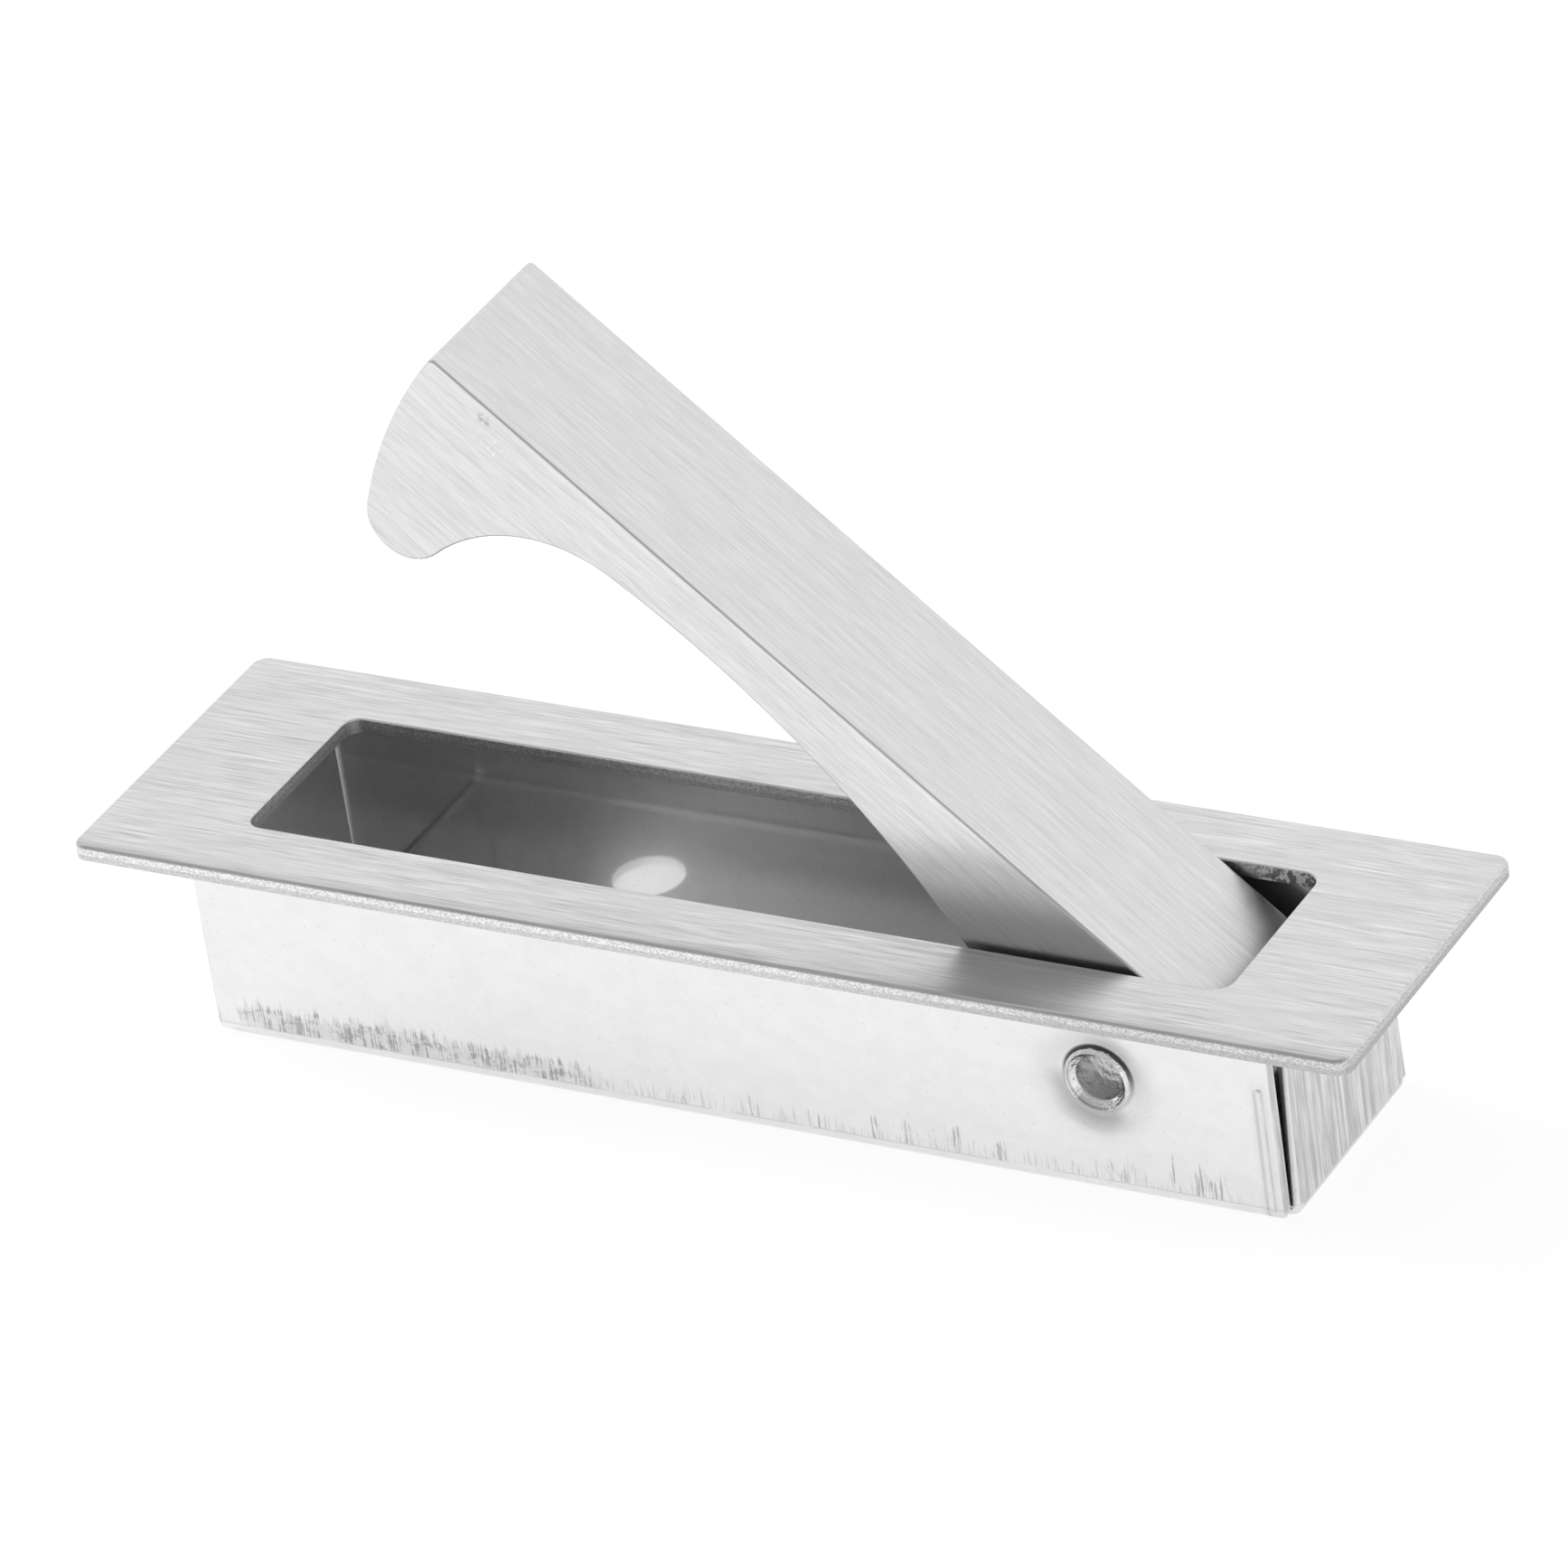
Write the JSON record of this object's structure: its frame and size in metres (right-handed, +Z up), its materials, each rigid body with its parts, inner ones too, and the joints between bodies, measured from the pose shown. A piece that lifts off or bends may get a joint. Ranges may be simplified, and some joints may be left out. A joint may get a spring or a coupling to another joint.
{
  "type": "recessed cabinet pull",
  "caption": "Flush cabinet pull: a windowed plate over a folded cup, with a hooked lever handle on a cross pin that flips up to be gripped.",
  "frame": {"origin": "middle of the cup's underside", "axes": "+X along the pull from the handle's nose towards its pivot, +Y across it, +Z up out of the furniture's face"},
  "size_m": [0.1206, 0.0324, 0.0696],
  "materials": {
    "brushed_plate": "satin, brushed lengthwise",
    "brushed_handle": "satin, brushed lengthwise",
    "bright_sheet": "bright rolled sheet with tool marks",
    "bright_pin": "bright",
    "washer": "natural nylon"
  },
  "bodies": {
    "recess": {"face_plate": "brushed_plate", "cup": "bright_sheet", "pivot_pin": "bright_pin", "pivot_washers": "washer"},
    "handle": {"handle": "brushed_handle"}
  },
  "joints": [
    {"name": "handle_flip", "type": "hinge", "parent": "recess", "child": "handle", "pos_m": [0.0345, 0, 0.011], "axis": [0, 1, 0], "range_deg": [-40, 40]}
  ]
}
